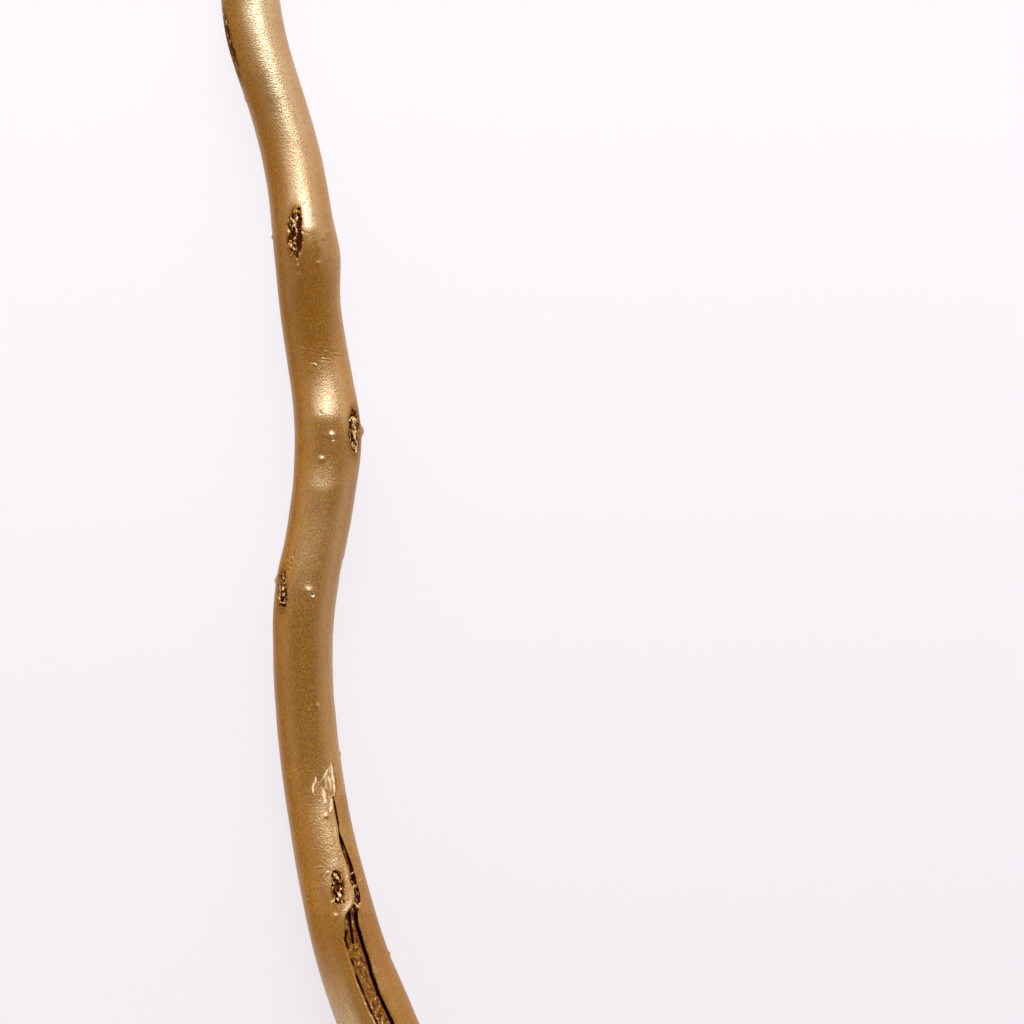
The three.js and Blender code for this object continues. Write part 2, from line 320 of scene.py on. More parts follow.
class Spine:
    """The middle line and radius of the branch, in millimetres, as curves over x."""

    # Where the solid is cut across, and how far from its middle a cut can reach.
    FIRST, LAST, STEP = -156.0, 162.0, 6.0
    REACH = 16.0
    # How far the line runs on past both ends, and its step.
    SPARE = 30.0
    FINE = 0.5
    # The triangles of a sawn end are past this x and face along the branch at least this much.
    END_FROM, END_FACING = 150, 0.75

    def __init__(self):
        corners, outward = solid_triangles()
        x = np.arange(self.FIRST, self.LAST + 0.1, self.STEP)
        rough_line = np.empty((len(x), 3))
        for i, at in enumerate(x):
            ring = crossing_points(corners, np.array([at, 0, 0]), np.array([1.0, 0, 0]))
            rough_line[i] = (ring.min(axis=0) + ring.max(axis=0)) / 2
        forward = np.gradient(rough_line, x, axis=0)
        forward /= np.linalg.norm(forward, axis=1)[:, None]
        line = np.empty((len(x), 4))
        for i, point in enumerate(rough_line):
            up, right = self.square_to(forward[i])
            ring = crossing_points(corners, point, forward[i]) - point
            ring = ring[np.linalg.norm(ring, axis=1) < self.REACH]
            across, height, radius = round_fit(ring @ right, ring @ up)
            line[i, :3] = point + across * right + height * up
            line[i, 3] = radius
        self.x, self.line = self.lengthened(line)
        self.ends = [self.end_face(corners, outward, side) for side in (-1, 1)]

    @staticmethod
    def square_to(forward):
        """The directions up and to the right of the branch, square to the way it runs."""
        up = np.array([0, 0, 1.0]) - forward[..., 2:] * forward
        up = up / np.linalg.norm(up, axis=-1, keepdims=True)
        return up, np.cross(forward, up)

    def lengthened(self, line):
        """The stations drawn as a smooth line at fine steps, run straight on past both ends."""
        x = line[:, 0]
        slope = np.gradient(line, x, axis=0)
        fine = np.arange(x[0], x[-1], self.FINE)
        i = np.clip(np.searchsorted(x, fine, side="right") - 1, 0, len(x) - 2)
        gap = (x[i + 1] - x[i])[:, None]
        t = (fine - x[i])[:, None] / gap
        curve = (
            (1 + 2 * t) * (1 - t) ** 2 * line[i]
            + t * (1 - t) ** 2 * gap * slope[i]
            + t * t * (3 - 2 * t) * line[i + 1]
            + t * t * (t - 1) * gap * slope[i + 1]
        )
        extra = np.arange(self.FINE, self.SPARE, self.FINE)[:, None]
        before = line[0] - extra[::-1] * slope[0]
        after = line[-1] + (extra - self.FINE) * slope[-1]
        curve = np.concatenate([before, curve, after])
        return curve[:, 0], curve

    def end_face(self, corners, outward, side):
        """A point on one cut end of the solid, and the direction that the cut faces."""
        area = np.linalg.norm(outward, axis=1)
        facing = outward / np.maximum(area, 1e-12)[:, None]
        middle = corners.mean(axis=1)
        on_end = (side * middle[:, 0] > self.END_FROM) & (side * facing[:, 0] > self.END_FACING)
        weight = area[on_end] / area[on_end].sum()
        return weight @ middle[on_end], weight @ facing[on_end]

    def at(self, along):
        """The middle points, ways the branch runs, and radii at those places."""
        values = [np.interp(along, self.x, self.line[:, k]) for k in range(4)]
        way = [np.interp(along, self.x, np.gradient(self.line[:, k], self.x)) for k in range(3)]
        return np.stack(values[:3], axis=-1), np.stack(way, axis=-1), values[3]


class Places:
    """Where points of the bark are: along the branch, round it and out from its middle."""

    def __init__(self, spine, points):
        along = points[:, 0].copy()
        for _ in range(4):
            middle, way, _ = spine.at(along)
            along += ((points - middle) * way).sum(axis=1) / (way * way).sum(axis=1)
        middle, way, self.radius = spine.at(along)
        forward = way / np.linalg.norm(way, axis=1)[:, None]
        up, right = Spine.square_to(forward)
        out = points - middle
        self.along = along
        self.turn = np.degrees(np.arctan2((out * right).sum(axis=1), (out * up).sum(axis=1)))
        self.out = np.linalg.norm(out, axis=1)
        angle = np.radians(self.turn)
        self.outward = np.cos(angle)[:, None] * up + np.sin(angle)[:, None] * right
        self.top = points[:, :2]
        self.seen = smooth(100, 92, np.abs(self.turn))
        self.straight = np.column_stack([along, self.out * np.cos(angle), self.out * np.sin(angle)])

    def near(self, along, turn):
        """How far each point is along from one place of the bark and round from it."""
        return self.along - along, np.radians(between(self.turn, turn)) * self.radius

    def off(self, x, y):
        """How far each point is from one place of the top view."""
        return np.hypot(self.top[:, 0] - x, self.top[:, 1] - y)

    def rough(self, size, seed, grain=1):
        """Random heights over the bark, in bumps of that size, drawn out along it by a small grain."""
        return rough(self.straight * np.array([grain, 1, 1]), size, seed)


# Relief of the bark. Each function gives a height or depth for every point, in millimetres.

def nearest_mark(up, right, marks, stretch):
    """How far out each point is from the middle of the nearest mark, 1 on its rim."""
    nearest = np.full(len(up), np.inf)
    for mark_up, mark_right, length, width, lean in marks:
        lean = math.radians(lean)
        over, beside = up - mark_up, right - mark_right * stretch
        ahead = over * math.cos(lean) + beside * math.sin(lean)
        aside = beside * math.cos(lean) - over * math.sin(lean)
        nearest = np.minimum(nearest, np.hypot(ahead / (length / 2), aside / (width * stretch / 2)))
    return nearest


def scar_relief(up, right, scar, stretch, tear):
    """How deep a bud scar is at each point, where a flake stands in it, and the darker rim round it."""
    dent = np.hypot(up / (scar.length / 2), right / (scar.width / 2 * stretch))
    inner = scar.torn * smooth(1.05, 0.7, dent)
    tear = np.abs(tear)
    hole = smooth(1.5, 0.45, nearest_mark(up, right, scar.holes, stretch))
    flake = smooth(1.35, 0.8, nearest_mark(up, right, scar.flakes, stretch))
    sliver = 0.9 * inner * (1 - smooth(0.1, 0.5, hole)) * smooth(0.2, 0.08, tear)
    flake = np.maximum(flake * smooth(0.7, 0.45, tear), sliver)
    depth = np.maximum(0.5 * smooth(1.1, 0.4, dent), 1.1 * hole)
    depth = np.maximum(depth, 0.8 * inner * smooth(0.2, 0.5, tear))
    lip = 0.07 * bell((dent - 1.3) / 0.3)
    return depth * (1 - 0.95 * flake) - 0.25 * flake - lip, flake, smooth(1.6, 0.8, dent)


def from_scar(places, scar):
    """How far each point is along from a scar and to its right, and which points can be in it."""
    if scar.turn is None:
        return places.top[:, 0] - scar.x, scar.y - places.top[:, 1], places.seen > 0
    return *places.near(scar.x, scar.turn), True


def swelling(places):
    """The knuckles and the slow unevenness of the bark."""
    height = np.zeros(len(places.along))
    for k in KNUCKLES:
        off = between(places.turn, k.turn)
        past = places.along - k.along - k.bow * (1 - np.cos(np.radians(off)))
        reach = np.where(past > 0, k.above, k.below)
        height += k.rise * np.exp((k.crest - np.hypot(past, k.crest)) / reach) * bell(off / k.spread)
    for k in THICKENINGS:
        past = np.maximum(k.along - places.along, 0)
        slope = (1 - np.exp(-past / k.reach)) * np.exp(-past / k.fade)
        height += k.rise * slope * bell(between(places.turn, k.turn) / k.spread)
    height += 0.14 * places.rough(13, 1) + 0.05 * places.rough(4.5, 2)
    return height + 0.02 * places.rough(1.9, 3, 0.12)


def buckling(places):
    """Pimples, creases, ripples and wrinkles."""
    height = np.zeros(len(places.along))
    for x, y, width, rise in TOP_PIMPLES:
        height += rise * places.seen * np.exp(-(places.off(x, y) / (width / 2)) ** 1.6)
    for along, turn, width, rise in RIM_PIMPLES:
        ahead, aside = places.near(along, turn)
        height += rise * np.exp(-(np.hypot(ahead, aside) / (width / 2)) ** 2.2)
    wander = 0.3 * np.column_stack([places.rough(0.9, seed) for seed in (20, 21)])
    for crease in CREASES:
        off = distance_to(places.top + wander, crease)
        height += places.seen * (0.08 * bell(off / 0.2) - 0.05 * bell((off - 0.42) / 0.2))
    bend = 0.3 * places.rough(1.7, 14)
    for r in RIPPLES:
        lean = math.radians(r.lean)
        up, right = places.top[:, 0] - r.x, r.y - places.top[:, 1]
        ahead = right * math.cos(lean) + up * math.sin(lean)
        aside = up * math.cos(lean) - right * math.sin(lean)
        patch = places.seen * bell(2 * ahead / r.length) * bell(2 * aside / r.width)
        height += r.rise * patch * np.sin(2 * math.pi * (aside / r.step + bend))
    folds = 0.014 * places.seen * places.rough(1.5625, 4, 1.625)
    for x, y, width in WRINKLED:
        height += folds * bell(places.off(x, y) / (width / 2))
    return height


def pits(places):
    """Depth of the bud scars, dents and hairlines, torn flakes in them, and darker rims round the scars."""
    depth, flake, dark_rim = np.zeros((3, len(places.along)))
    hidden = [SCARS[3]._replace(x=along, turn=turn) for along, turn in HIDDEN_SCARS]
    ragged = 0.2 * places.rough(0.6, 5) + 0.12 * places.rough(0.3, 18)
    frayed = 0.16 * places.rough(0.5, 6) + 0.1 * places.rough(0.27, 19)
    tear = places.rough(0.62, 16, 0.45)
    for scar in SCARS + hidden:
        stretch = HIDDEN_STRETCH if scar in hidden else 1
        up, right, seen = from_scar(places, scar)
        close = (np.abs(up) < scar.length) & (np.abs(right) < scar.width * 2) & seen
        up, right = (up + ragged)[close], (right + frayed)[close]
        deep, torn, ring = scar_relief(up, right, scar, stretch, tear[close])
        depth[close] = np.where(np.abs(deep) > np.abs(depth[close]), deep, depth[close])
        flake[close] = np.maximum(flake[close], torn)
        dark_rim[close] = np.maximum(dark_rim[close], ring)
    for x, y, width, sink in DENTS:
        off = places.off(x, y) / (width / 2)
        depth = np.maximum(depth, sink * places.seen * smooth(1.5, 0.3, off))
    for line in HAIRLINES:
        off = distance_to(places.top, line)
        depth = np.maximum(depth, 0.3 * places.seen * smooth(0.35, 0.1, off))
    return depth, flake, dark_rim


def split_at(x):
    """The y of the drying split's left and right lips, and its depth, at each x."""
    stations = np.array(SPLIT)[::-1]
    return [np.interp(x, stations[:, 0], stations[:, k]) for k in (1, 2, 3)]


def drying_split(places):
    """How far down the drying split is cut, how high its lips are, its bare wood, and its torn bed with
    painted shade beside it.
    """
    x, y = places.top.T
    left, right, floor = split_at(x)
    wander = 0.12 * places.rough(2.2, 7) + 0.08 * places.rough(0.9, 8)
    wander = wander * smooth(0.5, 1.6, left - right)
    left = left + wander
    right = right - wander * 0.7
    width = np.maximum(left - right, 0.3)
    # share runs from 0 at the left lip to 1 at the right one, and edge is how far the right lip is.
    # By its tip the split is a narrow gap, and from there on a wide bed of torn wood.
    share = (left - y) / width
    edge = (1 - share) * width
    open_here = places.seen * (x < -70) * smooth(0, 0.25, floor)
    wide = smooth(-98.2, -100.4, x)
    strands = places.rough(0.42, 9, 0.16)
    crumbs = places.rough(0.5, 10) + 0.6 * places.rough(0.28, 15)
    gap = floor * smooth(0.0, 0.12, share) * smooth(1.0, 0.88, share)
    gap = gap - 0.4 * strands * smooth(0.1, 0.3, share) * smooth(0.9, 0.7, share) * (floor > 1)
    bed = floor + 0.12 * strands + 0.05 * crumbs
    rim_slit = 1.1 * bell((share - 0.07) / 0.055) * smooth(-0.5, 0.1, places.rough(2.6, 11))
    inner = 1.5 * smooth(0.45, 0.12, distance_to(places.top, INNER_SLIT))
    deep_slit = 2.6 * smooth(1.25, 0.85, edge) * smooth(-0.12, 0.22, edge)
    bed = (bed + rim_slit + inner) * smooth(-0.01, 0.05, share) * smooth(-0.05, 0.1, edge)
    bed = np.maximum(bed, deep_slit)
    cut = open_here * ((1 - wide) * gap + wide * bed)
    rolled = 0.55 * np.exp(-np.maximum(-edge, 0) / 0.55) * wide
    raised = 0.1 * bell((share * width + 0.4) / 0.35)
    lip = open_here * (raised - np.where(edge < 0, rolled, 0))
    # The slits and the gap are bare and dark; where bare comes near 1, in the slits and the gap near its
    # tip, it is painted black as shadow. Ledges in the gap and the bed caught some gold.
    inside = open_here * smooth(-0.02, 0.05, share) * smooth(-0.05, 0.1, edge)
    slits = np.maximum(smooth(0.35, 1.0, rim_slit + inner), smooth(0.5, 1.5, deep_slit))
    dark = 0.7 * smooth(-108, -101, x) + 0.25
    bare_bed = np.maximum(slits, dark * smooth(-0.5, 0.7, 0.5 * crumbs + strands))
    bare_gap = smooth(0.0, 0.08, share) * smooth(1.0, 0.92, share)
    ledge = smooth(-82, -84.5, x) * smooth(0.0, 0.5, strands + 0.4 * crumbs)
    # tip marks the stretch of the gap that is painted black as shadow.
    tip = smooth(-84.5, -82, x) * smooth(-78.6, -79.6, x)
    bare_gap = bare_gap * np.maximum(0.8 * (1 - 0.75 * ledge), tip)
    bare = inside * ((1 - wide) * bare_gap + wide * bare_bed)
    # Painted shade on the bark beside the split, darkest next to its lips.
    shade_right_of_split = 0.78 * (0.55 + 0.45 * wide) * (edge < 0.3) * np.exp(np.minimum(edge, 0) / 11)
    shade_left_of_split = 0.6 * wide * smooth(-124, -112, x) * (share < 0) * np.exp(np.minimum(share * width, 0) / 8)
    return cut, lip, bare, np.maximum(inside * wide, open_here * (shade_right_of_split + shade_left_of_split))


def stroke(points, line, width):
    """How far out each point is from the middle of a stroke that tapers at both ends, 1 on its rim."""
    lengths = [math.dist(start, end) for start, end in zip(line, line[1:])]
    nearest = np.full(len(points), np.inf)
    done = 0
    for length, (off, share) in zip(lengths, pieces_of(points, line)):
        along = (done + share * length) / sum(lengths)
        half = width / 2 * (0.25 + 0.75 * np.sqrt(np.sin(np.pi * along)))
        nearest = np.minimum(nearest, off / half)
        done += length
    return nearest


def scraped(places):
    """Where the gold is rubbed off in streaks, and how much browner the bark is beside them: painted shade
    along the strokes, real streaks in the rubbed patch.
    """
    worn, brown_and_shade = np.zeros((2, len(places.along)))
    ragged = 0.45 * places.rough(0.8, 12) + 0.35 * places.rough(0.4, 13)
    streaks = places.rough(0.4, 17, 0.2)
    for width, line in SCRAPES:
        off = stroke(places.top, line, width) + ragged
        worn = np.maximum(worn, smooth(1.25, 0.65, off) * (0.55 + 0.45 * smooth(-0.5, 0.1, streaks)))
    # Painted shade: browner edges along the strokes.
    for width, line in SCRAPE_EDGES:
        off = stroke(places.top, line, width) + ragged
        brown_and_shade = np.maximum(brown_and_shade, smooth(1.3, 0.6, off))
    rubbed = bell(distance_to(places.top, RUBBED) / 1.4)
    worn = np.maximum(worn, 0.6 * rubbed * smooth(0.15, 0.45, streaks))
    brown_and_shade = np.maximum(brown_and_shade, 0.7 * rubbed * smooth(-0.15, -0.45, streaks))
    return worn * places.seen, brown_and_shade * (1 - worn) * places.seen


def patches(places, rows):
    """The sum of soft patches of the coat."""
    total = np.zeros(len(places.along))
    for amount, along, reach, turn, spread in rows:
        total += amount * bell((places.along - along) / reach) * bell((places.turn - turn) / spread)
    return total


def coat(places):
    """The share of flakes, with painted light and shade in it, the painted shade, and a patch of painted
    light.
    """
    # Fewer flakes on the flanks: partly sprayed more thinly there, partly painted shade that keeps them
    # from reflecting the pale floor.
    left = 0.95 * bell((places.turn + 48) / 25) * smooth(-126, -100, places.along)
    right = 0.55 * bell((places.turn - 50) / 22) * (1 - 0.6 * smooth(75, 95, places.along))
    # Painted highlight: more flakes on the top near the thin end brighten its highlight.
    painted_highlight = 0.4 * smooth(86, 104, places.along) * bell((places.turn - 4) / 32)
    # Fewer flakes where a highlight is dimmed: painted shade.
    spray = np.maximum(1 - left - right + painted_highlight - patches(places, DIMMED_HIGHLIGHTS), 0)
    # Painted shade: the shade patches, and a dark band along the left flank towards the thin end.
    painted_shade = patches(places, SHADE_PATCHES) + 0.5 * smooth(55, 78, places.along) * bell((places.turn + 35) / 17)
    return spray, painted_shade, patches(places, LIGHT_PATCHES)


# Materials

class Wire:
    """A socket of a material. Sums on it add Math nodes to the material."""

    def __init__(self, tree, socket=None):
        self.tree = tree
        self.socket = socket

    def node(self, kind, settings=None, sockets=None, output=0):
        """Adds a node, makes its settings, fills its sockets, and gives one of its outputs."""
        made = self.tree.nodes.new(kind)
        for name, value in (settings or {}).items():
            setattr(made, name, value)
        for name, value in (sockets or {}).items():
            if isinstance(value, Wire):
                self.tree.links.new(value.socket, made.inputs[name])
            else:
                made.inputs[name].default_value = value
        return Wire(self.tree, made.outputs[output] if made.outputs else None)

    def math(self, operation, *values):
        """A Math node."""
        return self.node("ShaderNodeMath", {"operation": operation}, dict(enumerate(values)))

    def __add__(self, other):
        return self.math("ADD", self, other)

    def __sub__(self, other):
        return self.math("SUBTRACT", self, other)

    def __rsub__(self, other):
        return self.math("SUBTRACT", other, self)

    def __mul__(self, other):
        return self.math("MULTIPLY", self, other)

    __radd__ = __add__
    __rmul__ = __mul__

    def step(self, low, high):
        """A soft step from 0 at low to 1 at high."""
        return self.node(
            "ShaderNodeMapRange",
            {"interpolation_type": "SMOOTHSTEP"},
            {"Value": self, "From Min": low, "From Max": high},
        )

    def blend(self, first, second):
        """A colour between two, by this share of the second."""
        first, second = (c if isinstance(c, Wire) else solid(c) for c in (first, second))
        return self.node("ShaderNodeMix", {"data_type": "RGBA"}, {0: self, 6: first, 7: second}, output=2)

    def noise(self, place, size, detail=2.0, roughness=0.5):
        """Random cloud from 0 to 1, in patches of that size in metres."""
        return self.node(
            "ShaderNodeTexNoise",
            {"noise_dimensions": "3D"},
            {"Vector": place, "Scale": 1 / size, "Detail": detail, "Roughness": roughness},
        )

    def note(self, name, output="Fac"):
        """What the mesh notes at each point under that name."""
        return self.node("ShaderNodeAttribute", {"attribute_name": name}, output=output)

    def scaled(self, place, scale, turn=0.0):
        """Coordinates scaled, then turned about the branch."""
        sockets = {"Vector": place, "Scale": scale, "Rotation": (turn, 0.0, 0.0)}
        return self.node("ShaderNodeMapping", {"vector_type": "POINT"}, sockets)

    def bump(self, height):
        """The way that the surface faces with this relief on it, in metres."""
        return self.node("ShaderNodeBump", {}, {"Distance": 1.0, "Height": height})

    def shader(self, sockets):
        """A Principled shader."""
        return self.node("ShaderNodeBsdfPrincipled", {}, sockets)

    def show(self, kind="ShaderNodeOutputMaterial"):
        """Ends the material with this shader."""
        self.node(kind, {}, {"Surface": self})


def new_material(name):
    """An empty material, and a wire to build it with."""
    material = bpy.data.materials.new(name)
    material.use_nodes = True
    material.node_tree.nodes.clear()
    return material, Wire(material.node_tree)


def solid(colour):
    """A colour with no transparency."""
    return (*colour, 1)


# Painted shadow: black laid in the deepest slits.
SLIT_SHADOW = (0, 0, 0)


def gold_bark(finish):
    """Gold paint on bark: brass flakes in an ochre binder, bare wood in the pits and scrapes."""
    material, wire = new_material("gold_paint")
    place = wire.node("ShaderNodeTexCoord", output="Object")
    straight = wire.note("straight", "Vector")
    bare, thin, torn, worn, spray = (wire.note(name) for name in NOTES)
    grain = wire.noise(place, finish.grain, 1.0)
    pebble = wire.noise(place, finish.grain * 1.6)
    cloud = wire.noise(place, 0.011, 3.0, 0.55)
    streak = wire.noise(wire.scaled(straight, (0.12, 1.0, 1.0)), 0.0016, 2.0, 0.6)
    fleck = wire.noise(wire.scaled(straight, (0.4, 1.0, 1.0)), 0.0005, 2.0, 0.6)
    speck = grain.step(0.34, 0.66)
    clot = pebble.step(0.38, 0.64)
    # The binder is darker in the grains, where most of the flakes lie.
    colour = cloud.step(0.3, 0.72).blend(finish.ochre, finish.gold)
    colour = (speck * 0.45).blend(colour, finish.thin)
    colour = ((1 - speck) * 0.25).blend(colour, finish.bright)
    # Darker binder where there are fewer flakes and lighter where there are more, so the painted light and
    # shade in the flake share show here too.
    colour = ((1 - spray) * 0.1).blend(colour, finish.thin)
    colour = (clot * (0.68 - spray * 0.4)).blend(colour, finish.thin)
    # Over it come torn wood, thin paint and painted shade, the fibres of the split's bed, bare wood and
    # scrapes.
    # Torn flakes: gold and pale dry wood in patches, the palest made lighter still as painted glints.
    colour = torn.blend(colour, pebble.step(0.4, 0.62).blend(finish.bright, finish.torn))
    # Thin paint, and the painted shade laid through the same note, darken towards the thin colour.
    colour = (thin * (0.6 + clot * 0.5) * (1 - torn)).blend(colour, finish.thin)
    bed = thin.step(0.8, 0.95)
    colour = (bed * fleck.step(0.52, 0.37)).blend(colour, finish.bare)
    # Painted glints: cream flecks in the split's bed.
    colour = (bed * fleck.step(0.64, 0.7) * 0.8).blend(colour, finish.torn)
    colour = bare.step(0.0, 0.85).blend(colour, finish.bare)
    # Painted shadow: black where the bare wood is deepest, in the slits and the gap near its tip.
    colour = (bare.step(0.86, 1.0) * 0.85).blend(colour, SLIT_SHADOW)
    # Scraped pale wood, and a patch of painted light laid in the same colour.
    colour = worn.blend(colour, finish.scraped)
    # Fewer flakes where the wood is bare, worn or torn, where the paint is thin, and under painted shade.
    painted = (1 - bare.step(0.0, 0.8)) * (1 - worn * 0.8) * (1 - torn * 0.6) * (1 - thin * 0.95)
    # The flake share carries painted light and shade: fewer flakes dim the reflection, more brighten it.
    share = painted * spray * (finish.flake_share + (cloud - 0.5) * 0.2 + (speck - 0.5) * 0.42)
    height = grain * finish.grain_height + pebble * (finish.grain_height * 0.8) + streak * 0.00002
    relief = wire.bump(height)
    binder = wire.shader({
        "Base Color": colour,
        "Roughness": 0.55 + bare * 0.2,
        "Specular IOR Level": 0.05,
        "Normal": relief,
    })
    flakes = wire.shader({
        "Base Color": solid(finish.flakes),
        "Metallic": 1.0,
        "Roughness": finish.roughness + (grain - 0.5) * 0.14,
        "Normal": relief,
    })
    wire.node("ShaderNodeMixShader", {}, {0: share, 1: binder, 2: flakes}).show()
    return material


def cut_wood(finish):
    """The sawn ends: faint growth rings and rays round a small pith, under a thin coat of gold."""
    material, wire = new_material("cut_wood")
    flat = wire.scaled(wire.note("straight", "Vector"), (0.0, 1.0, 1.0))
    wobble = wire.noise(flat, 0.005, 3.0, 0.55)
    out = wire.node("ShaderNodeVectorMath", {"operation": "LENGTH"}, {0: flat}, output="Value")
    wave = wire.math("SINE", (out + (wobble - 0.5) * 0.0022) * (2 * math.pi / finish.ring_width))
    rings = (wave * 0.5 + 0.5) * wire.noise(flat, 0.003)
    way = wire.node("ShaderNodeVectorMath", {"operation": "NORMALIZE"}, {0: flat})
    rays = wire.noise(way, 0.05, 2.0, 0.6)
    pores = wire.noise(flat, 0.0003, 2.0, 0.6)
    scratch = wire.noise(wire.scaled(flat, (0.0, 0.08, 1.0), 0.5), 0.0005, 2.0, 0.6)
    pith = (out + (wobble - 0.5) * 0.0008).step(0.0012, 0.0006)
    colour = wobble.step(0.3, 0.7).blend(finish.thin, finish.bright)
    colour = (scratch * 0.5).blend(colour, finish.scraped)
    colour = (rings * 0.75).blend(colour, finish.thin)
    colour = (rays.step(0.5, 0.72) * 0.3).blend(colour, finish.bright)
    colour = (scratch.step(0.58, 0.72) * 0.35).blend(colour, finish.thin)
    colour = (pores.step(0.38, 0.28) * 0.8).blend(colour, finish.bare)
    colour = pith.blend(colour, finish.bare)
    wire.shader({
        "Base Color": colour,
        "Metallic": (1 - pith) * (finish.flake_share * 0.6),
        "Roughness": 0.45 + rings * 0.2,
        "Normal": wire.bump(scratch * 0.00009 - rings * 0.00006 + pores * 0.00008 - pith * 0.0003),
    }).show()
    return material


def torn_wood(finish):
    """Torn fibres: gold in patches, pale dry wood between them."""
    material, wire = new_material("torn_wood")
    patch = wire.noise(wire.node("ShaderNodeTexCoord", output="Object"), 0.0012)
    colour = patch.step(0.4, 0.7).blend(finish.bright, finish.scraped)
    wire.shader({"Base Color": colour, "Roughness": 0.6 - patch * 0.2}).show()
    return material


# Selecting and shaping

def select_faces(branch, chosen):
    """Goes to edit mode with only the chosen faces selected."""
    bpy.ops.object.mode_set(mode="EDIT")
    bpy.ops.mesh.select_mode(type="FACE")
    bpy.ops.mesh.select_all(action="DESELECT")
    bpy.ops.object.mode_set(mode="OBJECT")
    branch.data.polygons.foreach_set("select", chosen)
    bpy.ops.object.mode_set(mode="EDIT")


def points_of(mesh):
    """The points of a mesh, in millimetres."""
    points = np.empty(len(mesh.vertices) * 3)
    mesh.vertices.foreach_get("co", points)
    return points.reshape(-1, 3) / MM


def face_middles(mesh):
    """The middles of the faces of a mesh, in millimetres."""
    middles = np.empty(len(mesh.polygons) * 3)
    mesh.polygons.foreach_get("center", middles)
    return middles.reshape(-1, 3) / MM


def fine_zone(places):
    """How fine the mesh has to be at each place: 0 plain, 1 for wrinkles, 2 and 3 for torn wood."""
    x, y = places.top.T
    seen = places.seen > 0
    level = np.zeros(len(x), dtype=int)

    def refine(chosen, to):
        level[chosen] = np.maximum(level[chosen], to)

    for patch_x, patch_y, width in WRINKLED:
        refine(seen & (places.off(patch_x, patch_y) < width * 0.55), 1)
    strokes = [scrape.line for scrape in SCRAPES + SCRAPE_EDGES] + [RUBBED]
    for line, reach in [(line, 1.2) for line in CREASES + HAIRLINES] + [(line, 1.0) for line in strokes]:
        off = distance_to(places.top, line)
        refine(seen & (off < reach), 1)
        refine(seen & (off < 0.6), 2)
    for spot_x, spot_y, width, _ in TOP_PIMPLES + DENTS:
        off = places.off(spot_x, spot_y)
        refine(seen & (off < width * 1.1 + 0.3), 1)
        refine(seen & (off < width * 0.7 + 0.2), 2)
    for along, turn, width, _ in RIM_PIMPLES:
        refine(np.hypot(*places.near(along, turn)) < width * 1.1 + 0.4, 1)
    for scar in SCARS:
        ahead, aside, here = from_scar(places, scar)
        shape = np.hypot(ahead / (scar.length / 2 + 0.5), aside / (scar.width / 2 + 0.5))
        for to, reach in ((1, 1.35), (2, 1.05), (3, 0.9)):
            refine(here & (shape < reach), to)
    for along, turn in HIDDEN_SCARS:
        ahead, aside = places.near(along, turn)
        refine(np.hypot(ahead / 6, aside / 2.2) < 1.2, 1)
    left, right, _ = split_at(x)
    refine(seen & (x < -69) & (y < left + 1.4) & (y > right - 1.6), 1)
    refine(seen & (x < -69) & (x > -132) & (y < left + 0.5) & (y > right - 0.4), 2)
    refine(seen & (x < -70) & (x > -100) & (y < left + 0.25) & (y > right - 0.25), 3)
    for r in RIPPLES:
        refine(seen & (places.off(r.x, r.y) < r.length * 0.7), 2)
    return level


